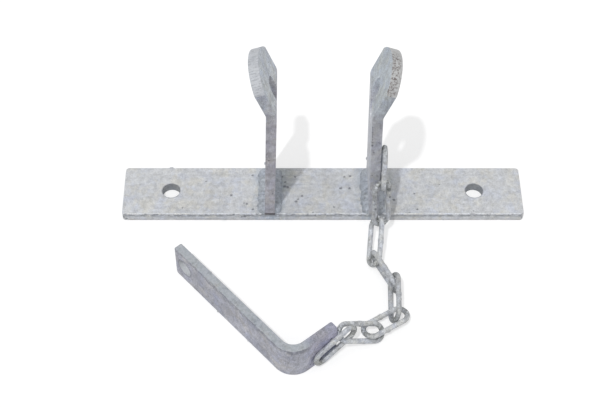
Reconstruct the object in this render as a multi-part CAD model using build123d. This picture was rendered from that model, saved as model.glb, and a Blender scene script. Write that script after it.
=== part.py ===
from build123d import *
import math
import os

# Gate latch: a base plate with two bent, slotted ears and a flat key on a chain.
# The origin is the centre of the base plate's underside, with X along the plate,
# Y to the back and Z up. The plate, the key and the chain's lower links stand on
# the same floor. Sizes are in millimetres.

# Base plate: a length of 60 x 10 flat bar with a bolt hole at each end
FLAT_WIDTH = 60.0
FLAT_THICK = 10.0
PLATE_LENGTH = 400.0
BOLT_HOLE_DIA = 18.0
BOLT_SPACING = 305.0
CORNER_RADIUS = 3.5
EDGE_SOFTENING = 0.8

# Ears: the same flat bar stood on end, its head bent outward
HEAD_ARC_RISE = 18.0
BEND_INNER_RADIUS = 8.0
SLOT_WIDTH = 18.0
SLOT_ABOVE_BEND = 19.0
SLOT_BELOW_BEND = 29.0
SLOT_OFFSET = -2.0

# Each ear's foot centre along X, its lean toward the middle in degrees, the height
# of its bend, and the tilt and length of its head
EARS = {
    "left": {"x": -53.1, "lean": 1.3, "bend": 153.0, "tilt": 21.6, "head": 46.0},
    "right": {"x": 49.9, "lean": 0.9, "bend": 150.5, "tilt": 20.8, "head": 48.0},
}

# Fillet welds along both sides of each foot
FOOT_WELD_LEG = 7.0
FOOT_WELD_CROWN = 1.2
FOOT_WELD_SHORT = 1.5

# Chain: long links of round wire, closed by a butt weld in one side
WIRE_DIA = 5.0
LINK_PITCH = 42.0
LINK_WIDTH = 21.0
SEAM_SWELL = 0.35
SEAM_LENGTH = 3.0

# Where each link lies: the step to its centre from the link before in pitches, the way
# along it and the way across it. The ear holds the first link, so it has no step
LINK_LIES = {
    1: ((0.0, 0.0, 0.0), (0.0, -0.1564, -0.9877), (0.0, -0.9877, 0.1564)),
    2: ((-0.02048, -0.29405, -0.91429), (0.0149, -0.3391, -0.9406), (0.8767, 0.4568, -0.1507)),
    3: ((-0.13524, -0.61214, -0.64643), (-0.0872, -0.9234, -0.3737), (0.6026, -0.3476, 0.7184)),
    4: ((0.18929, -0.79595, -0.10238), (0.4492, -0.8934, 0.0), (-0.0993, -0.0500, 0.9938)),
    5: ((0.19095, -0.73929, 0.03738), (-0.0148, -0.9886, -0.1500), (0.4139, -0.1426, 0.8991)),
    6: ((-0.23286, -0.63833, -0.05738), (-0.8340, -0.5489, 0.0564), (-0.5518, 0.8294, -0.0875)),
    7: ((-0.56810, -0.33333, 0.10857), (-0.8752, -0.2713, 0.4007), (-0.0214, 0.8490, 0.5280)),
    8: ((-0.56643, -0.36667, 0.05167), (-0.7443, -0.6157, -0.2588), (-0.1994, -0.1650, 0.9659)),
}
LAST_LINK = 8

# The first link's centre out from the right ear's face and back from its front edge,
# and the height of the first link that rests on the floor
FIRST_LINK_OUT = 1.95
FIRST_LINK_BACK = 0.5
FLOOR_LINK = 4
FLOOR_LINK_HEIGHT = 10.65

# Key: 40 x 8 flat bar on edge, bent square, with a pin hole in the long arm
KEY_HEIGHT = 40.0
KEY_THICK = 8.0
KEY_LONG_ARM = 167.0
KEY_SHORT_ARM = 55.1
KEY_BEND_INNER = 13.0
KEY_BEND_ANGLE = 91.9
KEY_HOLE_FROM_END = 14.0
KEY_CORNER_RADIUS = 2.5
KEY_SHORT_HEADING = 39.6

# The key's outer corner left of the last link's centre and in front of it
KEY_CORNER_LEFT = 40.95
KEY_CORNER_FRONT = 30.05

# Weld lumps that hold the chain's first and last links
ANCHOR_WELD_LENGTH = 20.0
ANCHOR_WELD_WIDTH = 8.0
KEY_WELD_LENGTH = 22.0
KEY_WELD_WIDTH = 7.0
EAR_WELD_ALONG = -8.0
KEY_WELD_ALONG = 9.0
WELD_ROOT = 2.5


def unit(vector):
    """The vector with length one."""
    return Vector(*vector).normalized()


def flat_bar(length, corner_radius):
    """A length of flat bar on Z = 0 with rounded corners and broken edges."""
    outline = RectangleRounded(length, FLAT_WIDTH, corner_radius)
    bar = extrude(outline, FLAT_THICK)
    rims = bar.faces().filter_by(Axis.Z).edges()
    return fillet(rims, EDGE_SOFTENING)


def make_base_plate():
    """The plate with its two bolt holes, sheared and drilled."""
    plate = flat_bar(PLATE_LENGTH, CORNER_RADIUS)
    for side in (-1, 1):
        hole = Cylinder(BOLT_HOLE_DIA / 2, 3 * FLAT_THICK)
        plate -= Pos(side * BOLT_SPACING / 2, 0, 0) * hole
    return plate


def ear_side_profile(sizes):
    """The bent strip seen from the front, its outer face on x = FLAT_THICK / 2."""
    tilt = math.radians(sizes["tilt"])
    length = sizes["head"]
    half = FLAT_THICK / 2
    bottom = -FLAT_THICK / 2
    rise = sizes["bend"] - FLAT_THICK
    along = (math.sin(tilt), math.cos(tilt))
    across = (math.cos(tilt), -math.sin(tilt))
    outer_knee = (half, rise)
    inner_knee = (-half, rise + FLAT_THICK * math.tan(tilt / 2))
    outer_tip = (outer_knee[0] + along[0] * length, outer_knee[1] + along[1] * length)
    inner_tip = (outer_tip[0] - across[0] * FLAT_THICK, outer_tip[1] - across[1] * FLAT_THICK)
    points = [(half, bottom), outer_knee, outer_tip, inner_tip, inner_knee, (-half, bottom)]
    profile = make_face(Polyline(*points, close=True))
    outer_corner = profile.vertices().sort_by_distance(Vector(*outer_knee))[0]
    profile = fillet(outer_corner, BEND_INNER_RADIUS)
    inner_corner = profile.vertices().sort_by_distance(Vector(*inner_knee))[0]
    return fillet(inner_corner, BEND_INNER_RADIUS + FLAT_THICK)


def head_plane(sizes):
    """A plane on the head's outer face: its origin at the knee, x across, y up the head."""
    tilt = math.radians(sizes["tilt"])
    knee = (FLAT_THICK / 2, 0, sizes["bend"] - FLAT_THICK)
    outward = (math.cos(tilt), 0, -math.sin(tilt))
    return Plane(origin=knee, x_dir=(0, 1, 0), z_dir=outward)


def head_end_cutter(sizes):
    """What lies past the head's flame-cut arc, as a block to take away."""
    half = FLAT_WIDTH / 2
    top = sizes["head"]
    shoulder = top - HEAD_ARC_RISE
    beyond = top + 2 * FLAT_THICK
    wide = half + FLAT_THICK / 2
    with_arc = (
        Line((-half, shoulder), (-wide, shoulder))
        + Line((-wide, shoulder), (-wide, beyond))
        + Line((-wide, beyond), (wide, beyond))
        + Line((wide, beyond), (wide, shoulder))
        + Line((wide, shoulder), (half, shoulder))
        + ThreePointArc((half, shoulder), (0, top), (-half, shoulder))
    )
    block = extrude(make_face(with_arc), 4 * FLAT_THICK, both=True)
    return head_plane(sizes) * block


def slot_cutter(sizes):
    """The obround slot: square to the upright below the bend, square to the head above."""
    radius = SLOT_WIDTH / 2
    lower = SLOT_BELOW_BEND - radius
    upper = SLOT_ABOVE_BEND - radius
    knee = sizes["bend"] - FLAT_THICK
    through = 4 * FLAT_THICK
    foot_plane = Plane(origin=(0, SLOT_OFFSET, knee), x_dir=(0, 1, 0), z_dir=(1, 0, 0))
    low = Pos(0, -lower / 2) * Rectangle(SLOT_WIDTH, lower) + Pos(0, -lower) * Circle(radius)
    high = Pos(0, upper / 2) * Rectangle(SLOT_WIDTH, upper) + Pos(0, upper) * Circle(radius)
    below = foot_plane * extrude(low, through, both=True)
    above = head_plane(sizes) * Pos(SLOT_OFFSET, 0, 0) * extrude(high, through, both=True)
    wedge = foot_plane * extrude(Rectangle(SLOT_WIDTH, FLAT_THICK), FLAT_THICK, both=True)
    return below + above + wedge


def make_ear(sizes, side):
    """One ear on the plate's top, side -1 for the left one and 1 for the right."""
    strip = extrude(Plane.XZ * ear_side_profile(sizes), FLAT_WIDTH / 2, both=True)
    long_edges = strip.edges().filter_by(GeomType.LINE).filter_by(Axis.Y, reverse=True)
    upright = [edge for edge in long_edges if edge.length > 2 * FLAT_THICK]
    strip = fillet(upright, EDGE_SOFTENING)
    strip -= head_end_cutter(sizes)
    strip -= slot_cutter(sizes)
    if side < 0:
        strip = mirror(strip, Plane.YZ)
    strip = Rot(0, -side * sizes["lean"], 0) * strip
    strip = Pos(sizes["x"], 0, FLAT_THICK) * strip
    below_plate_top = Pos(sizes["x"], 0, 0) * Box(2 * FLAT_WIDTH, 2 * FLAT_WIDTH, 2 * FLAT_THICK)
    return strip - below_plate_top


def make_foot_weld(foot_x, side, ear):
    """A convex fillet bead on the side of an ear's foot that side points to."""
    leg = FOOT_WELD_LEG
    sunk = -FLAT_THICK / 4
    bulge = leg / 2 + FOOT_WELD_CROWN
    section = (
        Line((sunk, sunk), (leg, sunk))
        + Line((leg, sunk), (leg, 0))
        + ThreePointArc((leg, 0), (bulge, bulge), (0, leg))
        + Line((0, leg), (sunk, leg))
        + Line((sunk, leg), (sunk, sunk))
    )
    length = FLAT_WIDTH / 2 - FOOT_WELD_SHORT
    bead = extrude(Plane.XZ * make_face(section), length, both=True)
    if side < 0:
        bead = mirror(bead, Plane.YZ)
    bead = Pos(foot_x + side * FLAT_THICK / 2, 0, FLAT_THICK) * bead
    bead -= Box(PLATE_LENGTH, FLAT_WIDTH, 2 * FLAT_THICK)
    bead -= ear
    return bead.solids().sort_by(SortBy.VOLUME)[-1]


def link_steps(index):
    """How far a link's centre is from the first one's, in pitches."""
    total = Vector(0, 0, 0)
    for number in range(1, index + 1):
        total += Vector(*LINK_LIES[number][0])
    return total


def link_centre(index):
    """A link's centre, with the first link on the ear and the floor link on the floor."""
    out = EARS["right"]["x"] + FLAT_THICK / 2 + FIRST_LINK_OUT
    back = FIRST_LINK_BACK - FLAT_WIDTH / 2
    height = FLOOR_LINK_HEIGHT - link_steps(FLOOR_LINK).Z * LINK_PITCH
    return Vector(out, back, height) + link_steps(index) * LINK_PITCH


def link_plane(index):
    """The plane of a link: its origin at the centre and x along the link."""
    step, along, across = LINK_LIES[index]
    normal = unit(along).cross(unit(across))
    return Plane(origin=link_centre(index), x_dir=unit(along), z_dir=normal)


def make_chain_link(index):
    """One welded long link: two straight sides and two half rings of wire."""
    bend = (LINK_WIDTH - WIRE_DIA) / 2
    straight = LINK_PITCH + WIRE_DIA - 2 * bend
    half = straight / 2
    wire = Circle(WIRE_DIA / 2)
    ring = revolve(Plane.YZ * Pos(bend, 0) * wire, Axis.Z, 180)
    end = Pos(-half, 0, 0) * ring
    sides = Part()
    for across in (-bend, bend):
        sides += Pos(0, across, 0) * (Rot(0, 90, 0) * Cylinder(WIRE_DIA / 2, straight))
    other_end = Rot(0, 0, 180) * end
    seam = Rot(0, 90, 0) * Cylinder(WIRE_DIA / 2 + SEAM_SWELL, SEAM_LENGTH)
    seam = fillet(seam.edges().filter_by(GeomType.CIRCLE), SEAM_SWELL * 0.8)
    body = sides + end + other_end + Pos(0, bend, 0) * seam
    return link_plane(index) * body


def key_corner():
    """The key's outer corner on the floor, set from the last link."""
    last = link_centre(LAST_LINK)
    return Vector(last.X - KEY_CORNER_LEFT, last.Y - KEY_CORNER_FRONT, 0)


def key_plane():
    """The floor plane at the key's outer corner, x along the short arm."""
    heading = math.radians(KEY_SHORT_HEADING)
    x_dir = (math.cos(heading), math.sin(heading), 0)
    return Plane(origin=key_corner(), x_dir=x_dir, z_dir=(0, 0, 1))


def edges_as_long_as(solid, length):
    """The straight edges of a solid that have one length."""
    straight = solid.edges().filter_by(GeomType.LINE)
    return [edge for edge in straight if abs(edge.length - length) < 0.01]


def make_latch_key():
    """The L-bent flat bar, standing on its edge, with the pin hole in its long arm."""
    turn = math.radians(KEY_BEND_ANGLE)
    long_dir = Vector(math.cos(turn), math.sin(turn))
    inner_dir = Vector(math.sin(turn), -math.cos(turn))
    back = KEY_THICK / math.tan(turn / 2)
    far = long_dir * KEY_LONG_ARM
    points = [
        (0, 0),
        (KEY_SHORT_ARM, 0),
        (KEY_SHORT_ARM, KEY_THICK),
        (back, KEY_THICK),
        (far.X + inner_dir.X * KEY_THICK, far.Y + inner_dir.Y * KEY_THICK),
        (far.X, far.Y),
    ]
    outline = make_face(Polyline(*points, close=True))
    inner = outline.vertices().sort_by_distance(Vector(back, KEY_THICK))[0]
    outline = fillet(inner, KEY_BEND_INNER)
    outer = outline.vertices().sort_by_distance(Vector(0, 0))[0]
    outline = fillet(outer, KEY_BEND_INNER + KEY_THICK)
    bar = extrude(outline, KEY_HEIGHT)
    bar = fillet(edges_as_long_as(bar, KEY_THICK), KEY_CORNER_RADIUS)
    across = edges_as_long_as(bar, KEY_THICK)
    bend_seams = edges_as_long_as(bar, KEY_HEIGHT)
    inside_faces = across + bend_seams
    rims = [edge for edge in bar.edges() if not any(edge.is_same(other) for other in inside_faces)]
    bar = fillet(rims, EDGE_SOFTENING)
    centre = long_dir * (KEY_LONG_ARM - KEY_HOLE_FROM_END)
    hole_plane = Plane(origin=(centre.X, centre.Y, KEY_HEIGHT / 2), z_dir=inner_dir)
    bar -= hole_plane * Cylinder(BOLT_HOLE_DIA / 2, 4 * KEY_THICK)
    return key_plane() * bar


def weld_lump(length, width, depth):
    """A rounded lump of weld metal, long in x and lying on z = 0."""
    lump = Box(length, width, 2 * depth)
    lump = fillet(lump.edges().filter_by(Axis.Z), width * 0.45)
    lump = fillet(lump.faces().sort_by(Axis.Z)[-1].edges(), width * 0.35)
    return lump - Pos(0, 0, -depth) * Box(2 * length, 2 * width, 2 * depth)


def make_anchor_weld(ear, link):
    """The lump between the ear's outer face and the first link's rear side."""
    step, along, across = LINK_LIES[1]
    bend = (LINK_WIDTH - WIRE_DIA) / 2
    spot = link_centre(1) - unit(across) * bend + unit(along) * EAR_WELD_ALONG
    base_x = EARS["right"]["x"] + FLAT_THICK / 2 - WELD_ROOT
    place = Plane(origin=(base_x, spot.Y, spot.Z), x_dir=unit(along), z_dir=(1, 0, 0))
    lump = place * weld_lump(ANCHOR_WELD_LENGTH, ANCHOR_WELD_WIDTH, spot.X - base_x)
    lump -= ear
    lump -= link
    return lump.solids().sort_by(SortBy.VOLUME)[-1]


def make_key_weld(key, link):
    """The lump between the key's outer face and the last link's lower side."""
    step, along, across = LINK_LIES[LAST_LINK]
    bend = (LINK_WIDTH - WIRE_DIA) / 2
    heading = math.radians(KEY_SHORT_HEADING)
    outward = Vector(math.sin(heading), -math.cos(heading), 0)
    spot = link_centre(LAST_LINK) - unit(across) * bend + unit(along) * KEY_WELD_ALONG
    gap = (spot - key_corner()).dot(outward)
    depth = gap + WELD_ROOT
    place = Plane(origin=spot - outward * depth, x_dir=unit(along), z_dir=outward)
    lump = place * weld_lump(KEY_WELD_LENGTH, KEY_WELD_WIDTH, depth)
    lump -= key
    lump -= link
    return lump.solids().sort_by(SortBy.VOLUME)[-1]


def make_parts():
    """Every node of the latch by name."""
    parts = {"base_plate": make_base_plate()}
    for name, side in (("left", -1), ("right", 1)):
        ear = make_ear(EARS[name], side)
        parts[f"{name}_ear"] = ear
        for face, way in (("outer", side), ("inner", -side)):
            parts[f"{name}_ear_{face}_weld"] = make_foot_weld(EARS[name]["x"], way, ear)
    for index in LINK_LIES:
        parts[f"chain_link_{index}"] = make_chain_link(index)
    parts["latch_key"] = make_latch_key()
    parts["chain_anchor_weld"] = make_anchor_weld(parts["right_ear"], parts["chain_link_1"])
    parts["key_weld"] = make_key_weld(parts["latch_key"], parts[f"chain_link_{LAST_LINK}"])
    return parts


def main():
    """Write one STEP file per node."""
    os.makedirs("parts", exist_ok=True)
    for name, solid in make_parts().items():
        solid.label = name
        export_step(solid, f"parts/{name}.step")


main()
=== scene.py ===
"""Looks of the galvanised gate latch: zinc finishes, weld beads, drops of zinc, floor, light and camera."""

import logging
import math
import random
from dataclasses import dataclass, field
from enum import Enum
from typing import Any, Optional, Sequence, Union

import bpy
from mathutils import Matrix, Vector


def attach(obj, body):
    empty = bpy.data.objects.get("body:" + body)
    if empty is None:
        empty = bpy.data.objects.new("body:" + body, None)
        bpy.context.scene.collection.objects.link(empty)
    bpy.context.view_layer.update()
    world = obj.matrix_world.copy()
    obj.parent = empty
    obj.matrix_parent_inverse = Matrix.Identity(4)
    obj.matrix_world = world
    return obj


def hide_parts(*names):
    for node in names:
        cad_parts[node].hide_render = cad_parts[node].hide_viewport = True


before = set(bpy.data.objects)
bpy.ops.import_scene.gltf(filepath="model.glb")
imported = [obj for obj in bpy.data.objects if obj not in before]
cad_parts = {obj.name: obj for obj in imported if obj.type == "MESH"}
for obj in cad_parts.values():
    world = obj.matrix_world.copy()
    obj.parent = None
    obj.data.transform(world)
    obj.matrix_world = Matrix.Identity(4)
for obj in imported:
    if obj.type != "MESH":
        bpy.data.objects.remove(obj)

log = logging.getLogger("gate_latch")
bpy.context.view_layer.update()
MM = 0.001
Triple = tuple[float, float, float]
Colour = tuple[float, float, float, float]


def paint(red: int, green: int, blue: int) -> Colour:
    """A colour written as screen values from 0 to 255.

    Args:
        red: Red share.
        green: Green share.
        blue: Blue share.

    Returns:
        The colour in linear light with full opacity.
    """
    linear = [(c / 255 / 12.92) if c < 10 else ((c / 255 + 0.055) / 1.055) ** 2.4 for c in (red, green, blue)]
    return (linear[0], linear[1], linear[2], 1.0)


def metres(place: Sequence[float]) -> Triple:
    """A place given in millimetres, in metres."""
    return (place[0] * MM, place[1] * MM, place[2] * MM)


# ---------------------------------------------------------------- shader tools


class Run(Enum):
    """The way that rolled or run-down streaks lie on a piece."""

    PLATE = (6.0, 420.0, 420.0)
    UPRIGHT = (380.0, 380.0, 14.0)
    CHAIN = (160.0, 160.0, 60.0)


class Value:
    """A socket of a shader that takes part in Python sums."""

    def __init__(self, shader: "Shader", socket: bpy.types.NodeSocket) -> None:
        """Keep the socket and the shader that it belongs to.

        Args:
            shader: The shader whose node has the socket.
            socket: The output socket.
        """
        self.shader = shader
        self.socket = socket

    def output(self, name: str) -> "Value":
        """Another output of the same node, by name."""
        return Value(self.shader, self.socket.node.outputs[name])

    def __add__(self, other: "Number") -> "Value":
        """The sum."""
        return self.shader.maths("ADD", self, other)

    __radd__ = __add__

    def __mul__(self, other: "Number") -> "Value":
        """The product."""
        return self.shader.maths("MULTIPLY", self, other)

    __rmul__ = __mul__

    def __sub__(self, other: "Number") -> "Value":
        """This value less another."""
        return self.shader.maths("SUBTRACT", self, other)

    def __rsub__(self, other: "Number") -> "Value":
        """A number less this value."""
        return self.shader.maths("SUBTRACT", other, self)

    def __or__(self, other: "Number") -> "Value":
        """The larger of two masks."""
        return self.shader.maths("MAXIMUM", self, other)

    def ramp(self, low: float, high: float) -> "Value":
        """A smooth mask, 0 at low and 1 at high.

        Args:
            low: Where the mask starts; above high, the mask falls.
            high: Where it is full.

        Returns:
            The mask.
        """
        start, end, bottom, top = (low, high, 0.0, 1.0) if low < high else (high, low, 1.0, 0.0)
        values = {"Value": self, "From Min": start, "From Max": end, "To Min": bottom, "To Max": top}
        return self.shader.node("ShaderNodeMapRange", {"interpolation_type": "SMOOTHSTEP"}, values)


    def reach(self, low: float, high: float) -> "Value":
        """The same mask for a length, with low and high in millimetres."""
        return self.ramp(low * MM, high * MM)


Number = Union[Value, float]
Setting = Union[Value, float, Triple, Colour]


class Shader:
    """A material's or world's node tree, built by calls."""

    def __init__(self, owner: Union[bpy.types.Material, bpy.types.World]) -> None:
        """Start an empty tree.

        Args:
            owner: The material or world that gets the tree.
        """
        owner.use_nodes = True
        self.tree = owner.node_tree
        self.tree.nodes.clear()

    def node(self, kind: str, settings: Optional[dict[str, Any]] = None,
             values: Optional[dict[Union[int, str], Setting]] = None, out: Union[int, str] = 0) -> Value:
        """Any node, with its settings made first.

        Args:
            kind: The node's type.
            settings: Its properties, such as a Math node's operation.
            values: Numbers, colours or links for its sockets.
            out: Which output to give back.

        Returns:
            The chosen output.
        """
        made = self.tree.nodes.new(kind)
        for key, setting in (settings or {}).items():
            setattr(made, key, setting)
        for key, value in (values or {}).items():
            if isinstance(value, Value):
                self.tree.links.new(value.socket, made.inputs[key])
            else:
                made.inputs[key].default_value = value
        return Value(self, made.outputs[out])

    def maths(self, operation: str, first: Number, second: Number = 0.0) -> Value:
        """One Math node.

        Args:
            operation: The node's operation.
            first: Its first value.
            second: Its second value.

        Returns:
            The node's result.
        """
        return self.node("ShaderNodeMath", {"operation": operation}, {0: first, 1: second})

    def place(self) -> Value:
        """The point on the piece in metres."""
        return self.node("ShaderNodeTexCoord", out="Object")

    def facing(self) -> Value:
        """The way the surface faces."""
        return self.node("ShaderNodeTexCoord", out="Normal")

    def axis(self, vector: Value, name: str) -> Value:
        """One part of a vector: X, Y or Z."""
        return self.node("ShaderNodeSeparateXYZ", values={0: vector}, out=name)

    def stretch(self, place: Value, scale: Triple) -> Value:
        """The place with each axis scaled."""
        return self.node("ShaderNodeMapping", values={"Vector": place, "Scale": scale})

    def noise(self, place: Value, scale: Union[float, Triple], seed: float, detail: float = 3.0,
              rough: float = 0.55) -> Value:
        """Seeded noise around 0.5.

        Args:
            place: Where it is read.
            scale: How fine it is, per metre; three numbers draw it out along an axis.
            seed: Which noise.
            detail: Its octaves.
            rough: How strong the fine octaves are.

        Returns:
            The noise.
        """
        if isinstance(scale, tuple):
            place, scale = self.stretch(place, scale), 1.0
        values = {"Vector": place, "W": seed, "Scale": scale, "Detail": detail, "Roughness": rough}
        return self.node("ShaderNodeTexNoise", {"noise_dimensions": "4D"}, values)

    def distance(self, place: Value, point: Triple) -> Value:
        """How far the place is from a point."""
        return self.node("ShaderNodeVectorMath", {"operation": "DISTANCE"}, {0: place, 1: point}, "Value")

    def shift(self, place: Value, amount: Value, by: Triple) -> Value:
        """The place moved by a number times a vector."""
        moved = self.node("ShaderNodeVectorMath", {"operation": "SCALE"}, {0: by, "Scale": amount})
        return self.node("ShaderNodeVectorMath", {"operation": "ADD"}, {0: place, 1: moved})

    def mix(self, under: Union[Value, Colour], over: Union[Value, Colour], mask: Number) -> Value:
        """One colour over another.

        Args:
            under: The colour where the mask is 0.
            over: The colour where the mask is 1.
            mask: How much of the second.

        Returns:
            The mixed colour.
        """
        return self.node("ShaderNodeMix", {"data_type": "RGBA"}, {0: mask, 6: under, 7: over}, 2)

    def specks(self, place: Value, scale: float, share: float, size: float, seed: float) -> Value:
        """Scattered round specks.

        Args:
            place: Where they are read.
            scale: How many cells a metre has.
            share: Which share of the cells has a speck.
            size: A speck's radius in cells.
            seed: Moves the cells.

        Returns:
            A mask, 1 in the middle of each speck.
        """
        values = {"Vector": place, "W": seed, "Scale": scale, "Randomness": 0.9}
        cells = self.node("ShaderNodeTexVoronoi", {"voronoi_dimensions": "4D"}, values)
        chosen = self.axis(cells.output("Color"), "X").ramp(share + 0.02, share)
        return cells.ramp(size, size * 0.35) * chosen

    def finish(self, colour: Value, height: Value, rough: Value, depth: float, metal: float) -> None:
        """Lead the colour, height and roughness into the surface.

        Args:
            colour: Base colour.
            height: Height for the bump.
            rough: Roughness.
            depth: The bump's depth in metres.
            metal: How metallic the zinc is.
        """
        bump = self.node("ShaderNodeBump", values={"Strength": 0.7, "Distance": depth, "Height": height})
        values = {"Base Color": colour, "Roughness": rough, "Metallic": metal, "Normal": bump}
        self.close(self.node("ShaderNodeBsdfPrincipled", values=values), "ShaderNodeOutputMaterial")

    def close(self, surface: Value, ending: str) -> None:
        """Link the surface to the tree's output.

        Args:
            surface: The surface or background.
            ending: The output node's type.
        """
        output = self.tree.nodes.new(ending)
        self.tree.links.new(surface.socket, output.inputs["Surface"])


@dataclass
class Skin:
    """A finish while it is built up: the point on the piece, the colour and the height so far."""

    shader: Shader
    place: Value
    colour: Value
    height: Value

    def light(self, factor: Value) -> None:
        """Make the colour lighter or darker by a factor."""
        values = {0: self.colour, "Scale": factor}
        self.colour = self.shader.node("ShaderNodeVectorMath", {"operation": "SCALE"}, values)

    def cover(self, over: Colour, mask: Number) -> None:
        """Put a colour over the skin where the mask is."""
        self.colour = self.shader.mix(self.colour, over, mask)

    def wash(self, tinge: Triple, mask: Number) -> None:
        """Multiply the colour by a tinge, so that its mottling stays.

        Args:
            tinge: What each of the colour's parts is multiplied by.
            mask: Where, and how much.
        """
        settings = {"data_type": "RGBA", "blend_type": "MULTIPLY", "clamp_result": False}
        self.colour = self.shader.node("ShaderNodeMix", settings, {0: mask, 6: self.colour, 7: (*tinge, 1.0)}, 2)


# ---------------------------------------------------------------- finishes; places and sizes in millimetres


@dataclass(frozen=True)
class Scar:
    """A dark pit in the zinc: where its middle is in millimetres, and its radius."""

    x: float
    y: float
    z: float
    radius: float

    def spread(self, shader: Shader, place: Value, outer: float, inner: float) -> Value:
        """The mask of the pit.

        Args:
            shader: The shader being built.
            place: The point on the piece.
            outer: Where the pit ends, as a share of its radius.
            inner: Where it is at its darkest.

        Returns:
            A mask, 1 in the pit.
        """
        away = shader.distance(place, metres((self.x, self.y, self.z)))
        return away.reach(self.radius * outer, self.radius * inner)


@dataclass(frozen=True)
class Zinc:
    """Hot-dip zinc: a mottled grey tone with faint cool and warm clouds, pits and streaks."""

    name: str
    tone: Colour = paint(209, 211, 214)
    run: Run = Run.PLATE
    clouds: float = 0.55
    mottle: float = 1.05
    grain: float = 1.6
    tint: float = 0.85
    streaks: float = 0.2
    pits: float = 0.16
    roughness: float = 0.52
    metal: float = 0.15
    depth: float = 0.0007
    seed: float = 1.0
    scars: tuple[Scar, ...] = ()

    def scarred(self, shader: Shader, place: Value) -> Value:
        """The mask of the pits that have a place of their own.

        Args:
            shader: The shader being built.
            place: The point on the piece.

        Returns:
            A mask, 1 in each pit.
        """
        wobble = shader.noise(place, 900, self.seed + 7) - 0.5
        moved = shader.shift(place, wobble, (0.003, 0.003, 0.003))
        mask: Value = shader.specks(moved, 75, self.pits, 0.16, self.seed + 3)
        for scar in self.scars:
            mask = mask | scar.spread(shader, moved, 1.2, 0.55)
        return mask

    def marks(self, skin: Skin) -> None:
        """Add what only this piece shows; plain zinc shows nothing more.

        Args:
            skin: The skin to mark.
        """

    def material(self) -> bpy.types.Material:
        """The finish as a material."""
        made = bpy.data.materials.new(self.name)
        shader = Shader(made)
        place = shader.place()
        large = shader.noise(place, 48, self.seed, 4.0, 0.6) - 0.5
        middle = shader.noise(place, 210, self.seed + 1, 4.0, 0.65) - 0.5
        fine = shader.noise(place, 1300, self.seed + 2, 2.0) - 0.5
        streak = shader.noise(place, self.run.value, self.seed + 4, 3.0, 0.6) - 0.5
        light = 1.0 + large * self.clouds + middle * self.mottle + fine * self.grain + streak * self.streaks
        cool = shader.noise(place, 75, self.seed + 5, 4.0, 0.6).ramp(0.44, 0.66) * self.tint
        warm = shader.noise(place, 70, self.seed + 6, 4.0, 0.6).ramp(0.46, 0.66) * self.tint
        tinted = shader.mix(self.tone, self.toned(0.945, 0.97, 1.05), cool)
        height = large * 0.5 + middle * 0.6 + fine * 0.22 + streak * 0.3
        skin = Skin(shader, place, shader.mix(tinted, self.toned(1.05, 1.02, 0.945), warm), height)
        skin.light(light)
        frost = shader.specks(place, 210, 0.3, 0.34, self.seed + 8)
        skin.cover(self.toned(1.22, 1.22, 1.21), frost * 0.5)
        smuts = shader.specks(place, 160, 0.14, 0.24, self.seed + 9)
        skin.cover(self.toned(0.66, 0.67, 0.69), smuts * 0.6)
        pits = self.scarred(shader, place)
        skin.cover(self.toned(0.33, 0.34, 0.36), pits * 0.85)
        skin.height = skin.height - pits * 0.6
        self.marks(skin)
        rough = middle * 0.35 + fine * 0.2 + self.roughness + pits * 0.2
        shader.finish(skin.colour, skin.height, rough, self.depth, self.metal)
        return made

    def toned(self, red: float, green: float, blue: float) -> Colour:
        """The tone with each part scaled."""
        return (min(self.tone[0] * red, 0.9), min(self.tone[1] * green, 0.9), min(self.tone[2] * blue, 0.9), 1.0)

    def dress(self, piece: bpy.types.Object) -> None:
        """Put the finish on a CAD node or a new piece."""
        piece.data.materials.clear()
        piece.data.materials.append(self.material())


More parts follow.
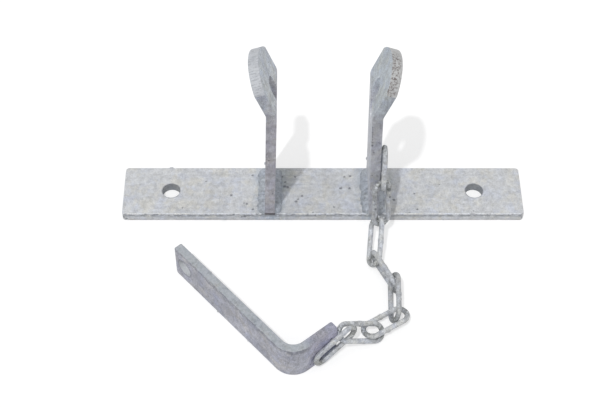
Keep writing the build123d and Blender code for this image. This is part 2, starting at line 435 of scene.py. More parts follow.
@dataclass(frozen=True)
class PlateZinc(Zinc):
    """The plate's zinc: welds' heat, bolt holes' rims with painted shade on their walls, the front edge with painted
    light on its face, grime with painted shadow beside the ears, grooves at the left ear, and painted shade under the
    left ear's front.
    """

    front: float = -30.0
    top: float = 10.0
    hole_place: float = 152.5
    hole_radius: float = 9.0
    weld_feet: tuple[float, ...] = (-58.1, -48.1, 44.9, 54.9)

    def marks(self, skin: Skin) -> None:
        """The heated bands, holes with painted shade on their walls, front edge with painted light on its face, grime
        with painted shadow beside the ears, grooves and painted shade in the gap under the left ear's front.

        Args:
            skin: The skin to mark.
        """
        shader, place = skin.shader, skin.place
        x, y, z = (shader.axis(place, name) for name in "XYZ")
        flat = shader.stretch(place, (1.0, 1.0, 0.0))
        stain = shader.noise(place, (420.0, 60.0, 60.0), self.seed + 10, 3.0, 0.6)
        for foot in self.weld_feet:
            aside = shader.maths("ABSOLUTE", x - foot * MM)
            heated = aside.reach(15.5, 6.5) * stain.ramp(0.36, 0.6)
            skin.wash((0.8, 0.845, 0.89), heated * 0.9)
        for hole in (-self.hole_place, self.hole_place):
            away = shader.distance(flat, (hole * MM, 0.0, 0.0))
            hole_wall_shading = away.reach(self.hole_radius + 0.2, self.hole_radius + 0.05)
            rim = away.reach(self.hole_radius + 1.1, self.hole_radius + 0.4)
            rim = rim * z.reach(self.top - 0.9, self.top - 0.4)
            # Painted shade: each bolt hole's wall is darkened to about half.
            skin.wash((0.5, 0.52, 0.55), hole_wall_shading * 0.9)
            skin.cover(self.toned(0.45, 0.47, 0.5), rim * stain.ramp(0.35, 0.55) * 0.6)
        ragged = shader.noise(place, (170.0, 500.0, 500.0), self.seed + 11, 4.0, 0.7)
        near_front = y.reach(self.front + 2.6, self.front + 0.9)
        lip = near_front * z.reach(self.top - 1.1, self.top - 0.4)
        skin.cover(self.toned(1.35, 1.36, 1.38), lip * ragged.ramp(0.46, 0.58) * 0.75)
        face = y.reach(self.front + 0.7, self.front + 0.3)
        # Painted light: the plate's whole front face is made 14 per cent lighter.
        skin.light(1.0 + face * 0.14)
        under = face * z.reach(self.top - 5.2, self.top - 2.9)
        flakes = under * ragged.ramp(0.56, 0.47)
        skin.cover(self.toned(0.5, 0.52, 0.56), flakes * 0.85)
        face_streak = shader.noise(place, (22.0, 900.0, 900.0), self.seed + 12)
        skin.cover(self.toned(0.7, 0.71, 0.74), face * face_streak.ramp(0.5, 0.62) * 0.5)
        foot = face * z.reach(1.9, 0.7)
        skin.wash((0.62, 0.57, 0.57), foot * ragged.ramp(0.36, 0.5) * 0.8)
        grime_and_shadow = shader.noise(place, 240, self.seed + 22, 4.0, 0.75).ramp(0.42, 0.56)
        # Grime and painted shadow: a darker greenish mottling laid where the ears' shadows fall on the plate, right of
        # and behind each ear.
        for start, end in ((-47.0, -27.0), (56.0, 74.0)):
            ear_shadow_patch = x.reach(start, start + 4) * x.reach(end, end - 8) * y.reach(-6, 6)
            skin.wash((0.86, 0.89, 0.84), ear_shadow_patch * grime_and_shadow * 0.85)
        grooves = shader.noise(place, (18.0, 620.0, 620.0), self.seed + 13, 2.0)
        where = x.reach(-50, -44) * x.reach(-8, -22) * y.reach(-4, 4)
        grooved = grooves.ramp(0.5, 0.6) * where
        skin.cover(self.toned(0.7, 0.72, 0.73), grooved * 0.5)
        # Painted shade: a dark band in the crevice under the left ear's front, where the ear meets the plate.
        gap_shade = x.reach(-58.8, -57.2) * x.reach(-46.8, -48.4)
        gap_shade = gap_shade * y.reach(-28.4, -29.2) * z.reach(8.3, 8.9)
        skin.cover(paint(66, 60, 62), gap_shade * 0.85)
        skin.height = skin.height + lip * ragged * 1.2 - grooved * 0.4 - flakes * 0.5 - gap_shade


@dataclass(frozen=True)
class EarZinc(Zinc):
    """An ear's zinc: run-down streaks, flame-cut lines across the head's end, and painted shade and light on some
    faces.
    """

    run: Run = Run.UPRIGHT
    cut_tone: Colour = paint(196, 199, 204)
    cut_dark: Colour = paint(150, 152, 158)
    cut_strength: float = 0.7
    cut_lines: float = 1.0
    cut_spots: float = 0.3
    foot_gap_shade: float = 0.0
    arc_from: float = 150.0
    head_painted_light: float = 1.14
    slot_light: float = 1.0
    front_shade: float = 0.42
    inner_face_painted_light: float = 1.0
    slot_middle: float = -2.0
    slot_half: float = 9.0
    slot_low: float = 120.0
    slot_high: float = 170.0
    spot_line: Triple = (0.0, 0.0, 1000.0)

    def marks(self, skin: Skin) -> None:
        """The flame-cut lines on the end, painted shade on the front faces, painted light on the inner face and the
        head, worn edges of the slot, and painted shade in the gap at the foot.

        Args:
            skin: The skin to mark.
        """
        shader, place = skin.shader, skin.place
        x, y, z = (shader.axis(place, name) for name in "XYZ")
        up = shader.axis(shader.facing(), "Z")
        arc = up.ramp(0.37, 0.45) * z.reach(self.arc_from, self.arc_from + 4)
        front = shader.axis(shader.facing(), "Y").ramp(-0.6, -0.85)
        blotch = shader.noise(shader.stretch(place, (1.0, 1.0, 0.3)), 330, self.seed + 20, 4.0, 0.7).ramp(0.44, 0.58)
        skin.wash((0.8, 0.775, 0.815), front * self.front_shade)
        skin.wash((0.84, 0.82, 0.85), front * blotch * 0.8)
        # Painted light: the faces that look the -X way, below the head, are made lighter.
        side = shader.axis(shader.facing(), "X").ramp(-0.6, -0.85) * z.reach(157, 147)
        skin.light(1.0 + side * (self.inner_face_painted_light - 1.0))
        # Painted light: the head is made lighter all over; the wash after it is the head's own greener tone.
        head = z.reach(138, 164)
        skin.light(1.0 + head * (self.head_painted_light - 1.0))
        skin.wash((0.935, 0.985, 0.99), head)
        off_slot = shader.maths("ABSOLUTE", y - self.slot_middle * MM)
        in_slot = off_slot.reach(self.slot_half + 0.4, self.slot_half + 0.05)
        in_slot = in_slot * z.reach(self.slot_low - 2, self.slot_low + 2)
        in_slot = in_slot * z.reach(self.slot_high + 2, self.slot_high - 2)
        skin.light(1.0 + in_slot * (self.slot_light - 1.0))
        lines = shader.noise(place, (190.0, 900.0, 190.0), self.seed + 14, 4.0, 0.75)
        spots = shader.noise(place, 430, self.seed + 15, 3.0, 0.75)
        skin.cover(self.cut_tone, arc * 0.85)
        depth_in, rise, start = self.spot_line
        deep = x * depth_in + z * rise - start * MM
        cluster = deep.reach(-5.5, 2) * y.reach(14, 2) * 0.88 + 0.1
        crumbs = spots.ramp(0.47, 0.58) * cluster * self.cut_spots
        dark = arc * (lines.ramp(0.49, 0.6) * self.cut_lines + crumbs)
        skin.cover(self.cut_dark, shader.maths("MINIMUM", dark, 1.0) * self.cut_strength)
        soot = shader.noise(place, 85, self.seed + 16, 3.0, 0.6).ramp(0.55, 0.7) * z.reach(100, 150)
        skin.wash((0.78, 0.79, 0.82), soot * 0.6)
        # Painted shade: a dark band at the foot of the ear's front, in the crevice where it meets the plate.
        foot = y.reach(-28.6, -29.4) * z.reach(12.2, 11.0) * self.foot_gap_shade
        skin.cover(paint(70, 62, 66), foot * 0.8)
        skin.height = skin.height + lines * arc * 1.6 - foot


@dataclass(frozen=True)
class KeyZinc(Zinc):
    """The key's zinc: a scuffed crust on the long arm, drips, a dark ring round the pin hole, painted light on the
    hole's wall, and painted shade and light on the short arm.
    """

    run: Run = Run.UPRIGHT
    high: float = 40.0
    hole: Triple = (-130.49, -101.06, 20.0)
    wall_reach: float = 9.6
    short_way: tuple[float, float] = (0.7705, 0.6374)
    short_start: float = -163.88

    def marks(self, skin: Skin) -> None:
        """The scuffs, the crust, painted shade on the short arm's top and painted light with a bluer tinge on its side,
        the drips, and the pin hole with painted light on its wall.

        Args:
            skin: The skin to mark.
        """
        shader, place = skin.shader, skin.place
        x, y, z = (shader.axis(place, name) for name in "XYZ")
        along_short = x * self.short_way[0] + y * self.short_way[1] - self.short_start * MM
        short = along_short.reach(16, 30)
        ragged = shader.noise(place, 150, self.seed + 17, 5.0, 0.75)
        level = z + (ragged - 0.5) * 0.021
        rim = z.reach(self.high - 0.7, self.high - 0.2)
        scuffs = level.reach(self.high - 4.6, self.high - 3.2) * level.reach(self.high - 0.8, self.high - 1.8)
        scuffs = scuffs * (1.0 - rim) * (1.0 - short * 0.8)
        skin.cover(self.toned(0.46, 0.48, 0.52), scuffs * 0.75)
        crust = level.reach(self.high - 1.2, self.high + 0.2)
        skin.cover(self.toned(1.1, 1.13, 1.12), crust * (1.0 - short) * 0.6)
        skin.cover(self.toned(1.12, 1.13, 1.14), rim * (1.0 - short) * ragged.ramp(0.4, 0.55) * 0.6)
        # Painted shade: the short arm's top is darkened to the side's tone. Painted light with a bluer tinge: the short
        # arm's side is made lighter.
        skin.wash((0.74, 0.73, 0.8), short * rim * 0.8)
        skin.wash((1.12, 1.1, 1.2), short * (1.0 - rim))
        drips = shader.noise(place, (80.0, 80.0, 34.0), self.seed + 18, 4.0, 0.6)
        skin.wash((0.8, 0.81, 0.85), drips.ramp(0.46, 0.62) * (1.0 - rim) * 0.8)
        patch = shader.noise(place, 330, self.seed + 21, 4.0, 0.7).ramp(0.44, 0.58)
        skin.wash((0.9, 0.93, 0.89), rim * (1.0 - short) * 0.9)
        skin.wash((0.82, 0.85, 0.84), patch * rim * 0.9)
        away = shader.distance(place, metres(self.hole))
        ring = away.reach(self.wall_reach, self.wall_reach + 0.35) * away.reach(11.8, 10.6)
        skin.cover(self.toned(0.5, 0.52, 0.56), ring * 0.7)
        # Painted light: the pin hole's wall is made pale, standing in for the light seen through the hole.
        hole_wall_shading = away.reach(self.wall_reach + 0.25, self.wall_reach)
        skin.cover(self.toned(1.35, 1.38, 1.25), hole_wall_shading * 0.8)
        skin.height = skin.height - scuffs * 0.5 + drips * 0.5


@dataclass(frozen=True)
class ChainZinc(Zinc):
    """Thick lumpy zinc on wire, darker at the links' ends where they rub and where shade falls between them: partly
    wear, partly painted shade.
    """

    run: Run = Run.CHAIN
    rubs_and_shade: tuple[Scar, ...] = ()

    def marks(self, skin: Skin) -> None:
        """Brown-grey mottling where the links bear on each other: partly wear, partly painted shade between the links.

        Args:
            skin: The skin to mark.
        """
        shader, place = skin.shader, skin.place
        ragged = shader.noise(place, 480, self.seed + 19, 4.0, 0.7)
        for rub_and_shade in self.rubs_and_shade:
            # Partly wear, partly painted shade: the links' ends, where they interlock, are darkened brown-grey, most
            # widely at the top of link 2.
            worn_and_shaded = rub_and_shade.spread(shader, place, 1.0, 0.45) * ragged.ramp(0.42, 0.56)
            skin.cover(paint(112, 115, 110), worn_and_shaded * 0.72)
        skin.height = skin.height + ragged * 0.5


# ---------------------------------------------------------------- modelling


@dataclass(frozen=True)
class Lump:
    """A rounded lump of zinc or weld metal before it flows into its neighbours."""

    centre: Triple
    size: Triple
    turn: Triple = (0.0, 0.0, 0.0)


@dataclass(frozen=True)
class Melt:
    """How lumps flow together: grid and skin height in metres, and how often the skin is smoothed."""

    voxel: float
    rough: float
    soften: int


DROPS = Melt(0.00028, 0.0001, 2)
EDGE_RUN = Melt(0.00028, 0.00012, 2)
FOOT_BEAD = Melt(0.0004, 0.0005, 12)
LINK_LUMPS = Melt(0.0003, 0.0003, 4)
LINK_BEAD = Melt(0.00035, 0.0005, 3)


def deselect() -> None:
    """Leave edit mode and select nothing."""
    if bpy.context.object is not None and bpy.context.object.mode != "OBJECT":
        bpy.ops.object.mode_set(mode="OBJECT")
    bpy.ops.object.select_all(action="DESELECT")


def apply_modifier(piece: bpy.types.Object, kind: str, settings: dict[str, Any]) -> None:
    """Add a modifier and apply it.

    Args:
        piece: The piece.
        kind: The modifier's type.
        settings: Its properties.
    """
    modifier = piece.modifiers.new(kind.lower(), kind)
    for key, setting in settings.items():
        setattr(modifier, key, setting)
    bpy.ops.object.modifier_apply(modifier=modifier.name)


def clouds(name: str, size: float) -> bpy.types.Texture:
    """A soft cloud pattern that displaces a mesh.

    Args:
        name: The pattern's name.
        size: The size of its clouds in metres.

    Returns:
        The pattern.
    """
    made = bpy.data.textures.new(name, "CLOUDS")
    made.noise_scale = size
    made.noise_depth = 2
    return made


def flow(name: str, lumps: Sequence[Lump], melt: Melt, finish: Zinc) -> bpy.types.Object:
    """Lumps that have flowed together into one smooth body of metal.

    Args:
        name: The piece's name.
        lumps: The lumps it starts from.
        melt: How they flow together.
        finish: The piece's finish.

    Returns:
        The finished piece, its place in its mesh.
    """
    deselect()
    for number, lump in enumerate(lumps):
        bpy.ops.mesh.primitive_uv_sphere_add(segments=20, ring_count=12, radius=1.0, location=lump.centre,
                                             rotation=lump.turn, scale=lump.size)
        if number == 0:
            piece = bpy.context.object
            bpy.ops.object.transform_apply(location=True, rotation=True, scale=True)
            bpy.ops.object.mode_set(mode="EDIT")
    bpy.ops.object.mode_set(mode="OBJECT")
    piece.name = name
    piece.data.name = name
    apply_modifier(piece, "REMESH", {"mode": "VOXEL", "voxel_size": melt.voxel})
    apply_modifier(piece, "SMOOTH", {"factor": 0.5, "iterations": melt.soften})
    apply_modifier(piece, "DISPLACE", {"texture": clouds(name, melt.voxel * 6), "texture_coords": "LOCAL",
                                       "strength": melt.rough, "mid_level": 0.5})
    apply_modifier(piece, "SMOOTH", {"factor": 0.4, "iterations": 2})
    bpy.ops.object.shade_smooth()
    finish.dress(piece)
    return piece


def trim(point: Triple, keep: Triple) -> None:
    """Cut away what of the active piece lies behind a plane and close the cut.

    Args:
        point: A point on the plane.
        keep: The way to the side that stays.
    """
    bpy.ops.object.mode_set(mode="EDIT")
    bpy.ops.mesh.select_all(action="SELECT")
    bpy.ops.mesh.bisect(plane_co=point, plane_no=keep, use_fill=True, clear_inner=True, clear_outer=False)
    bpy.ops.mesh.select_all(action="SELECT")
    bpy.ops.mesh.remove_doubles(threshold=0.00002)
    bpy.ops.mesh.normals_make_consistent(inside=False)
    bpy.ops.object.mode_set(mode="OBJECT")


# ---------------------------------------------------------------- sub-assemblies


@dataclass
class Ridge:
    """A broken run of zinc that has set along an edge; lengths in millimetres."""

    name: str
    body: str
    start: Triple
    way: Triple
    length: float
    seed: int
    thick: float = 0.92
    stray: float = 0.06
    halves: tuple[float, float] = (1.2, 3.4)
    share: float = 0.78
    gaps: tuple[tuple[float, float], ...] = ()

    def build(self, finish: Zinc) -> bpy.types.Object:
        """Lay drawn-out drops along the edge, some of them left out.

        Args:
            finish: The run's finish.

        Returns:
            The run as one piece.
        """
        dice = random.Random(self.seed)
        way = Vector(self.way).normalized()
        turn = way.to_track_quat("Z", "Y").to_euler()
        lumps = []
        reach = 0.0
        while reach < self.length:
            half = dice.uniform(*self.halves)
            reach += half
            drop = dice.uniform(-self.stray, self.stray)
            across = (self.thick + dice.uniform(-0.14, 0.1)) * MM
            clear = not any(low < reach < high for low, high in self.gaps)
            if dice.random() < self.share and clear:
                at = (Vector(self.start) + way * reach + Vector((0.0, 0.0, drop))) * MM
                lumps.append(Lump((at.x, at.y, at.z), (across, across, half * 1.2 * MM), (turn.x, turn.y, turn.z)))
            reach += half * 0.8
        piece = flow(self.name, lumps, EDGE_RUN, finish)
        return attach(piece, self.body)


@dataclass
class BasePlate:
    """The drilled flat bar, dressed, with drops and a broken lip of zinc on it; lengths in millimetres."""

    thick: float = 10.0
    front: float = -30.0
    lip_half: float = 196.0
    scars: tuple[Scar, ...] = (
        Scar(-41, 18, 10, 1.3), Scar(-28, 18, 10, 1.2), Scar(-38, 11, 10, 1.2), Scar(-38.5, 5.5, 10, 1.9),
        Scar(-35.5, 4.5, 10, 1.8), Scar(-21, -7, 10, 1.3), Scar(-27, -14, 10, 1.5), Scar(-25, -11, 10, 1.1),
        Scar(-10, -28.5, 10, 1.2), Scar(-6, -28.7, 10, 1.0), Scar(22, 18, 10, 1.1), Scar(28, 19, 10, 1.5),
        Scar(18, 3, 10, 1.6), Scar(27, 3, 10, 1.4), Scar(11, -21, 10, 1.2), Scar(-71, 20, 10, 1.2),
        Scar(-92, -6, 10, 1.5), Scar(-76, -17, 10, 1.3), Scar(-79, -16, 10, 0.9), Scar(-70, -24, 10, 1.2),
        Scar(71, -12, 10, 1.6), Scar(92, -4, 10, 1.1), Scar(94, -24, 10, 1.2), Scar(86, -29, 10, 1.3),
        Scar(-78, -30, 6.5, 1.9), Scar(-81, -30, 5.8, 1.2), Scar(-16, -30, 8.0, 1.6), Scar(-8, -30, 8.2, 1.2),
        Scar(-140, -22, 10, 0.9), Scar(150, -26, 10, 0.9), Scar(118, 8, 10, 0.8), Scar(-118, 12, 10, 0.8),
        Scar(-199, -30, 5, 2.2), Scar(-196, -30, 3, 1.3), Scar(199, -30, 4, 1.4), Scar(-45, -26, 10, 1.2),
    )
    nubs: tuple[tuple[Triple, float], ...] = (
        ((-153.8, 29.6, 9.9), 1.5), ((-36.0, -29.3, 10.0), 0.9), ((-34.2, -29.5, 9.9), 0.7),
        ((-32.9, -29.2, 10.0), 0.6), ((-97.9, -29.9, 1.5), 1.3), ((-99.6, -29.8, 1.3), 1.0),
        ((-190.4, -29.8, 9.5), 0.6), ((120.3, -29.9, 1.2), 1.0), ((61.0, 29.7, 9.6), 0.9),
        ((-112.0, 29.9, 1.6), 1.2), ((96.0, 29.9, 1.5), 1.1), ((199.7, 14.0, 1.6), 0.9), ((-199.7, -8.0, 1.7), 0.9),
    )

    def dress(self) -> None:
        """Give the plate its zinc."""
        PlateZinc("plate_zinc", scars=self.scars, seed=3.0).dress(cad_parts["base_plate"])

    def build_lip(self, finish: Zinc) -> bpy.types.Object:
        """The broken lip of zinc along the front's upper edge, clear of the ears."""
        start = (-self.lip_half, self.front + 0.65, self.thick - 0.6)
        return Ridge("plate_zinc_lip", "latch_base", start, (1.0, 0.0, 0.0), 2 * self.lip_half, 300,
                     gaps=((134.0, 152.0), (237.0, 255.0))).build(finish)

    def build_nubs(self, finish: Zinc) -> bpy.types.Object:
        """The drops of zinc along the plate's edges.

        Args:
            finish: The finish of lumps.

        Returns:
            One piece with all the drops.
        """
        lumps = [Lump(metres(at), (r * 1.5 * MM, r * 0.75 * MM, r * 0.8 * MM)) for at, r in self.nubs]
        piece = flow("plate_zinc_nubs", lumps, DROPS, finish)
        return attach(piece, "latch_base")


@dataclass
class FootWeld:
    """One rippled bead along a side of an ear's foot."""

    node: str
    face: float
    side: int
    seed: int
    radius: float = 8.0
    inset: float = 1.0
    plate_top: float = 10.0
    reach: float = 26.0
    pitch: float = 2.3
    ripple: float = 3.4
    lean: float = 12.0
    under_top: float = 0.7
    behind_face: float = 0.8

    def build(self, finish: Zinc) -> bpy.types.Object:
        """Lay the ripples, let them flow together and trim what the ear and plate hide.

        Args:
            finish: The bead's finish.

        Returns:
            The bead, in place of its CAD node.
        """
        dice = random.Random(self.seed)
        centre_x = self.face - self.side * self.inset
        centre_z = self.plate_top - self.inset
        lumps = []
        steps = int(2 * self.reach / self.pitch)
        for number in range(steps + 1):
            y = -self.reach + number * self.pitch + dice.uniform(-0.35, 0.35)
            end = min(number, steps - number)
            radius = (self.radius + dice.uniform(-0.5, 0.6)) * (0.86 if end == 0 else 1.0)
            at = (centre_x + self.side * dice.uniform(-0.4, 0.7), y, centre_z + dice.uniform(-0.4, 0.5))
            tilt = math.radians(self.lean + dice.uniform(-4, 4))
            lumps.append(Lump(metres(at), (radius * MM, self.ripple * MM, radius * MM), (tilt, 0.0, 0.0)))
        piece = flow(self.node.replace("_weld", "_bead"), lumps, FOOT_BEAD, finish)
        trim(metres((0, 0, self.plate_top - self.under_top)), (0.0, 0.0, 1.0))
        trim(metres((self.face - self.side * self.behind_face, 0, 0)), (float(self.side), 0.0, 0.0))
        bpy.ops.object.shade_smooth()
        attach(piece, "latch_base")
        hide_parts(self.node)
        return piece


@dataclass
class Ears:
    """The two ears, dressed, with their foot welds and zinc nubs."""

    left_x: float = -53.1
    right_x: float = 49.9
    half_thick: float = 5.0

    def dress(self) -> None:
        """Give each ear its own zinc."""
        left = EarZinc(
            "left_ear_zinc", tone=paint(194, 195, 201), seed=21.0, foot_gap_shade=1.0, clouds=0.8, mottle=1.5, grain=2.0,
            cut_tone=paint(209, 212, 217), cut_dark=paint(152, 155, 162), head_painted_light=1.16, cut_lines=0.75,
            cut_spots=0.8,
            scars=(
                Scar(-53, -30, 92, 0.9), Scar(-56, -30, 62, 0.7), Scar(-50, -30, 42, 0.8), Scar(-66, -8, 196, 1.0),
                Scar(-70, 14, 190, 1.1), Scar(-64.6, -29.8, 179.4, 1.0), Scar(-62.8, -29.8, 180.2, 0.8),
                Scar(-60.9, -29.8, 180.9, 1.1), Scar(-59.0, -29.8, 181.6, 0.8),
            ))
        right = EarZinc(
            "right_ear_zinc", tone=paint(194, 197, 203), seed=37.0, clouds=0.7, mottle=1.3, grain=1.9,
            cut_tone=paint(206, 206, 205), cut_dark=paint(122, 114, 112), cut_strength=0.95, cut_lines=0.3,
            cut_spots=1.0, slot_light=1.3, head_painted_light=1.02, front_shade=0.22, inner_face_painted_light=1.2,
            spot_line=(-0.935, 0.355, 8.83),
            scars=(
                Scar(54.9, -22, 110, 1.2), Scar(54.9, -12, 98, 1.0), Scar(50, -30, 118, 0.8), Scar(43.2, -30, 139, 1.0),
                Scar(43.4, -30, 136, 0.7), Scar(43.4, -30, 132, 1.1), Scar(43.5, -30, 129, 0.9),
                Scar(43.6, -30, 126, 1.0), Scar(43.8, -30, 122, 0.7), Scar(43.8, -30, 118, 1.2),
                Scar(44.1, -30, 114, 1.3), Scar(46, -30, 104, 0.9), Scar(46, -30, 70, 0.7), Scar(53, -30, 90, 0.9),
                Scar(62, -18, 186, 1.2), Scar(58, 2, 176, 1.0),
            ))
        left.dress(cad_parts["left_ear"])
        right.dress(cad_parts["right_ear"])

    def build_welds(self, finish: Zinc) -> list[bpy.types.Object]:
        """The four beads.

        Args:
            finish: Their finish.

        Returns:
            The beads.
        """
        half = self.half_thick
        welds = (
            FootWeld("left_ear_outer_weld", self.left_x - half, -1, 11),
            FootWeld("left_ear_inner_weld", self.left_x + half, 1, 12),
            FootWeld("right_ear_inner_weld", self.right_x - half, -1, 13),
            FootWeld("right_ear_outer_weld", self.right_x + half, 1, 14),
        )
        return [weld.build(finish) for weld in welds]

    def build_nubs(self, finish: Zinc) -> bpy.types.Object:
        """The drops of zinc on the ears' edges.

        Args:
            finish: The finish of lumps.

        Returns:
            One piece with all the drops.
        """
        places = (
            ((-58.2, 29.4, 17.5), 1.4), ((44.6, 29.5, 25.4), 1.3), ((-58.2, -29.3, 30.0), 0.8),
            ((-57.9, -29.5, 24.0), 0.7), ((54.9, 29.4, 60.0), 0.9), ((-47.9, 29.4, 70.0), 0.8),
            ((-52.0, 30.0, 40.0), 0.9), ((50.5, 30.0, 88.0), 0.9), ((54.7, -14.0, 30.0), 0.9),
        )
        lumps = [Lump(metres(at), (r * 0.8 * MM, r * 0.8 * MM, r * 1.6 * MM)) for at, r in places]
        piece = flow("ear_zinc_nubs", lumps, DROPS, finish)
        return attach(piece, "latch_base")


@dataclass
class LinkPlace:
    """Where a chain link lies: its body, centre in millimetres, the way along it and across it."""

    body: str
    centre: Triple
    along: Triple
    across: Triple

    def point(self, along: float, across: float, normal: float) -> Vector:
        """A point given along, across and square to the link.

        Args:
            along: Distance along the link in millimetres.
            across: Distance across it.
            normal: Distance square to it.

        Returns:
            The point in metres.
        """
        x_dir = Vector(self.along).normalized()
        y_dir = Vector(self.across).normalized()
        z_dir = x_dir.cross(y_dir)
        return (Vector(self.centre) + x_dir * along + y_dir * across + z_dir * normal) * MM

    def turn(self) -> Triple:
        """The link's turn as Euler angles, its length along Z."""
        turn = Vector(self.along).to_track_quat("Z", "Y").to_euler()
        return (turn.x, turn.y, turn.z)


@dataclass
class Chain:
    """Eight links with their zinc lumps, the weld on the ear and the weld on the key."""

    half_length: float = 21.0
    middle: float = 8.0
    rub_and_shade: float = 10.5
    wide_rub_and_shade: float = 16.0
    floor_clear: float = 3.0
    places: dict[int, LinkPlace] = field(default_factory=lambda: {
        1: LinkPlace("latch_base", (56.85, -29.50, 80.50), (0.0, -0.1564, -0.9877), (0.0, -0.9877, 0.1564)),
        2: LinkPlace("link_2", (55.99, -41.85, 42.10), (0.0149, -0.3391, -0.9406), (0.8767, 0.4568, -0.1507)),
        3: LinkPlace("link_3", (50.31, -67.56, 14.95), (-0.0872, -0.9234, -0.3737), (0.6026, -0.3476, 0.7184)),
        4: LinkPlace("link_4", (58.26, -100.99, 10.65), (0.4492, -0.8934, 0.0), (-0.0993, -0.05, 0.9938)),
        5: LinkPlace("link_5", (66.28, -132.04, 12.22), (-0.0148, -0.9886, -0.15), (0.4139, -0.1426, 0.8991)),
        6: LinkPlace("link_6", (56.50, -158.85, 9.81), (-0.834, -0.5489, 0.0564), (-0.5518, 0.8294, -0.0875)),
        7: LinkPlace("link_7", (32.64, -172.85, 14.37), (-0.8752, -0.2713, 0.4007), (-0.0214, 0.849, 0.528)),
        8: LinkPlace("key", (8.85, -188.25, 16.54), (-0.7443, -0.6157, -0.2588), (-0.1994, -0.165, 0.9659)),
    })

    shades: dict[int, int] = field(default_factory=lambda: {1: 4, 2: -6, 3: 9, 4: -2, 5: -15, 6: 3, 7: 4, 8: -3})
    stains: dict[int, tuple[Triple, ...]] = field(default_factory=lambda: {
        1: ((-11.0, -8.0, 2.6), (2.0, -8.5, 1.2)), 2: ((-14.0, 7.0, 2.2), (-6.0, 8.0, 1.4), (3.0, -8.0, 1.6)),
        3: ((17.0, -4.0, 2.0), (19.0, 2.0, 1.8)), 5: ((-19.0, 2.0, 2.2), (-15.0, 7.0, 1.3)),
        7: ((-9.0, 8.0, 1.5),), 8: ((14.0, -7.0, 2.0),),
    })

    def dress(self) -> None:
        """Give every link its own shade of thick zinc."""
        for number, link in self.places.items():
            ends = tuple(Scar(*(link.point(way * self.half_length, 0.0, 0.0) / MM),
                              self.wide_rub_and_shade if (number, way) == (2, -1) else self.rub_and_shade) for way in (-1, 1))
            dark = tuple(Scar(*(link.point(along, across, 2.2) / MM), size)
                         for along, across, size in self.stains.get(number, ()))
            pale = self.shades[number]
            zinc = ChainZinc(f"link_{number}_zinc", tone=paint(197 + pale, 200 + pale, 204 + pale), clouds=1.2,
                             mottle=1.8, tint=0.9, streaks=0.3, pits=0.34, depth=0.0012, roughness=0.44,
                             seed=40.0 + number, rubs_and_shade=ends, scars=dark)
            zinc.dress(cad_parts[f"chain_link_{number}"])

    def build_lumps(self, finish: Zinc) -> list[bpy.types.Object]:
        """Lumps of zinc on the links' straight sides.

        Args:
            finish: The finish of lumps.

        Returns:
            One piece for each link.
        """
        made = []
        for number, link in self.places.items():
            dice = random.Random(100 + number)
            lumps = []
            for side in (-1, 1):
                along = dice.uniform(-6.0, 6.0)
                lean = dice.uniform(-1.2, 1.2)
                at = link.point(along, side * (self.middle + 1.0), lean)
                if at.z < self.floor_clear * MM:
                    continue
                size = (1.9 * MM, 1.9 * MM, dice.uniform(2.2, 3.6) * MM)
                lumps.append(Lump((at.x, at.y, at.z), size, link.turn()))
            piece = flow(f"link_{number}_zinc_lumps", lumps, LINK_LUMPS, finish)
            made.append(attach(piece, link.body))
        return made

    def build_weld(self, node: str, number: int, start: float, outward: Triple, drop: float,
                   finish: Zinc) -> bpy.types.Object:
        """The weld that holds a link's side to the ear or the key.

        Args:
            node: The CAD node that it stands for.
            number: The link.
            start: The middle of the weld along the link in millimetres.
            outward: The way from the welded face to the link.
            drop: How far the weld's middle is from the wire toward the face.
            finish: The weld's finish.

        Returns:
            The weld, in place of its CAD node.
        """
        link = self.places[number]
        dice = random.Random(200 + number)
        away = Vector(outward).normalized() * drop * MM
        lumps = []
        for step in range(-4, 5):
            at = link.point(start + step * 2.1, -self.middle + dice.uniform(-0.3, 0.3), 0.0) - away
            wide = (2.9 + dice.uniform(-0.2, 0.2)) * (0.8 if abs(step) == 4 else 1.0)
            lumps.append(Lump((at.x, at.y, at.z), (wide * MM, wide * MM, 2.3 * MM), link.turn()))
        piece = flow(node.replace("_weld", "_weld_bead"), lumps, LINK_BEAD, finish)
        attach(piece, link.body)
        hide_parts(node)
        return piece


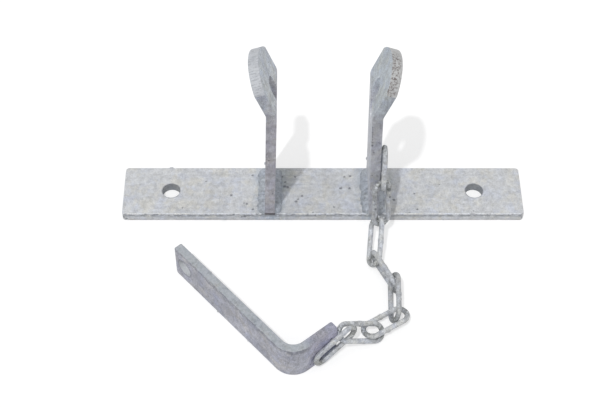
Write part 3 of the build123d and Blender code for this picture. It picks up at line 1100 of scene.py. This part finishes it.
@dataclass
class Key:
    """The bent flat bar, dressed, with drops of zinc and the border of its crust; lengths in millimetres."""

    corner: Triple = (-32.1, -218.3, 0.0)
    heading: float = 39.6
    bend: float = 91.9
    thick: float = 8.0
    crust_from: float = 15.0
    crust_length: float = 146.0
    crust_low: float = 37.4
    scars: tuple[Scar, ...] = (
        Scar(4.9, -187.7, 26, 1.5), Scar(6.4, -186.4, 20, 1.8), Scar(-13.6, -203.0, 8, 1.2),
        Scar(-10.5, -200.4, 5, 1.4), Scar(-33.0, -217.2, 22, 1.0), Scar(-72.0, -173.2, 17, 0.9),
    )

    def dress(self) -> None:
        """Give the key its zinc."""
        KeyZinc("key_zinc", tone=paint(185, 186, 196), clouds=0.9, mottle=1.35, streaks=0.1, grain=2.4, seed=61.0,
                pits=0.18, scars=self.scars).dress(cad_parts["latch_key"])

    def long_ways(self) -> tuple[Vector, Vector]:
        """The way along the long arm and the way in from its outer side."""
        turn = math.radians(self.heading + self.bend)
        return Vector((math.cos(turn), math.sin(turn), 0.0)), Vector((math.sin(turn), -math.cos(turn), 0.0))

    def build_crust(self, finish: Zinc) -> bpy.types.Object:
        """The ragged lower border of the crust along the long arm's outer side."""
        along, inward = self.long_ways()
        start = Vector(self.corner) + along * self.crust_from + inward * 0.72 + Vector((0.0, 0.0, self.crust_low))
        return Ridge("key_zinc_crust", "key", tuple(start), tuple(along), self.crust_length, 310, thick=0.94,
                     stray=0.8, halves=(1.8, 4.6)).build(finish)

    def build_nubs(self, finish: Zinc) -> bpy.types.Object:
        """The drops of zinc along the long arm.

        Args:
            finish: The finish of lumps.

        Returns:
            One piece with all the drops.
        """
        along, inward = self.long_ways()
        lumps = []
        for reach, depth, height, size in ((60, 0.0, 1.6, 1.1), (104, 0.0, 1.5, 1.3), (146, 0.1, 38.6, 0.8),
                                           (34, self.thick, 1.5, 1.0), (122, self.thick, 38.8, 0.9),
                                           (82, self.thick, 2.0, 1.2)):
            at = (Vector(self.corner) + along * reach + inward * depth) * MM
            lumps.append(Lump((at.x, at.y, height * MM), (size * MM, size * 0.8 * MM, size * MM)))
        piece = flow("key_zinc_nubs", lumps, DROPS, finish)
        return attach(piece, "key")


# ---------------------------------------------------------------- studio


@dataclass
class Studio:
    """The pale floor, the soft light and the camera at the photograph's angle."""

    floor_size: float = 12.0
    floor_shade: float = 0.62
    floor_glow: float = 0.52
    floor_bounce: float = 0.42
    sky: float = 0.72
    sun: float = 1.12
    sun_from: Triple = (-0.21, -0.45, 1.0)
    sun_width: float = 1.9
    elevation: float = 51.511
    azimuth: float = -0.898
    roll: float = 0.703
    distance: float = 1389.99
    target: Triple = (-17.032, -17.229, 10.0)
    lens: float = 81.807

    def seen_directly(self, shader: Shader) -> Value:
        """A mask of the rays that show the background: straight, mirrored or through glass."""
        path = shader.node("ShaderNodeLightPath", out="Is Camera Ray")
        return path | path.output("Is Glossy Ray") | path.output("Is Transmission Ray")

    def lay_floor(self) -> None:
        """The floor, white to the eye and keeping the object's shadow."""
        deselect()
        bpy.ops.mesh.primitive_plane_add(size=self.floor_size, location=(0.0, 0.0, 0.0))
        floor = bpy.context.object
        floor.name = "floor"
        paper = bpy.data.materials.new("floor_paper")
        shader = Shader(paper)
        shown = self.seen_directly(shader)
        shade, bounce = self.floor_shade, self.floor_bounce
        colour = shader.mix((bounce, bounce, bounce, 1.0), (shade, shade, shade, 1.0), shown)
        matt = shader.node("ShaderNodeBsdfDiffuse", values={"Color": colour})
        glow = shader.node("ShaderNodeEmission", values={"Strength": shown * self.floor_glow})
        both = shader.node("ShaderNodeAddShader", values={0: matt, 1: glow})
        shader.close(both, "ShaderNodeOutputMaterial")
        floor.data.materials.append(paper)

    def light(self) -> None:
        """A plain white sky and one soft-edged sun from the front left."""
        world = bpy.data.worlds.new("studio")
        bpy.context.scene.world = world
        shader = Shader(world)
        strength = self.seen_directly(shader) * (1.0 - self.sky) + self.sky
        shader.close(shader.node("ShaderNodeBackground", values={"Strength": strength}), "ShaderNodeOutputWorld")
        lamp = bpy.data.lights.new("sun", "SUN")
        lamp.energy = self.sun
        lamp.angle = math.radians(self.sun_width)
        holder = bpy.data.objects.new("sun", lamp)
        holder.rotation_euler = Vector(self.sun_from).to_track_quat("Z", "Y").to_euler()
        bpy.context.scene.collection.objects.link(holder)

    def set_camera(self) -> None:
        """The camera where the photograph was taken from."""
        turn, up = math.radians(self.azimuth), math.radians(self.elevation)
        back = Vector((math.sin(turn) * math.cos(up), -math.cos(turn) * math.cos(up), math.sin(up)))
        place = (Vector(self.target) + back * self.distance) * MM
        level = (-back).cross(Vector((0.0, 0.0, 1.0))).normalized()
        upright = level.cross(-back)
        lean = math.radians(self.roll)
        right = level * math.cos(lean) + upright * math.sin(lean)
        top = upright * math.cos(lean) - level * math.sin(lean)
        lens = bpy.data.cameras.new("camera")
        lens.lens = self.lens
        lens.sensor_width = 36.0
        camera = bpy.data.objects.new("camera", lens)
        turned = Matrix((right, top, back)).transposed().to_4x4()
        camera.matrix_world = Matrix.Translation(place) @ turned
        bpy.context.scene.collection.objects.link(camera)
        bpy.context.scene.camera = camera
        bpy.context.scene.view_settings.view_transform = "Standard"


def main() -> None:
    """Build and dress the latch, then the studio."""
    logging.basicConfig(level=logging.INFO, format="%(message)s")
    weld_zinc = Zinc("weld_zinc", tone=paint(172, 178, 186), run=Run.UPRIGHT, clouds=0.6, mottle=1.0, streaks=1.3,
                     tint=0.35, roughness=0.48, seed=80.0)
    drop_zinc = Zinc("drop_zinc", tone=paint(194, 197, 201), clouds=0.3, mottle=0.4, pits=0.03, seed=90.0)
    plate, ears, chain, key = BasePlate(), Ears(), Chain(), Key()
    plate.dress()
    ears.dress()
    chain.dress()
    key.dress()
    made = [plate.build_nubs(drop_zinc), ears.build_nubs(drop_zinc), key.build_nubs(drop_zinc)]
    lip_zinc = Zinc("lip_zinc", tone=paint(224, 227, 231), clouds=0.3, mottle=0.6, pits=0.03, seed=95.0)
    crust_zinc = Zinc("crust_zinc", tone=paint(188, 192, 196), clouds=0.4, mottle=0.9, pits=0.05, seed=97.0)
    made += [plate.build_lip(lip_zinc), key.build_crust(crust_zinc)]
    made += ears.build_welds(weld_zinc)
    made += chain.build_lumps(drop_zinc)
    made.append(chain.build_weld("chain_anchor_weld", 1, -8.0, (1.0, 0.0, 0.0), 1.0, weld_zinc))
    heading = math.radians(key.heading)
    made.append(chain.build_weld("key_weld", 8, 9.0, (math.sin(heading), -math.cos(heading), 0.0), 0.9, weld_zinc))
    for piece in made:
        log.info("%s: %d faces", piece.name, len(piece.data.polygons))
    studio = Studio()
    studio.lay_floor()
    studio.light()
    studio.set_camera()


if __name__ == "__main__":
    main()
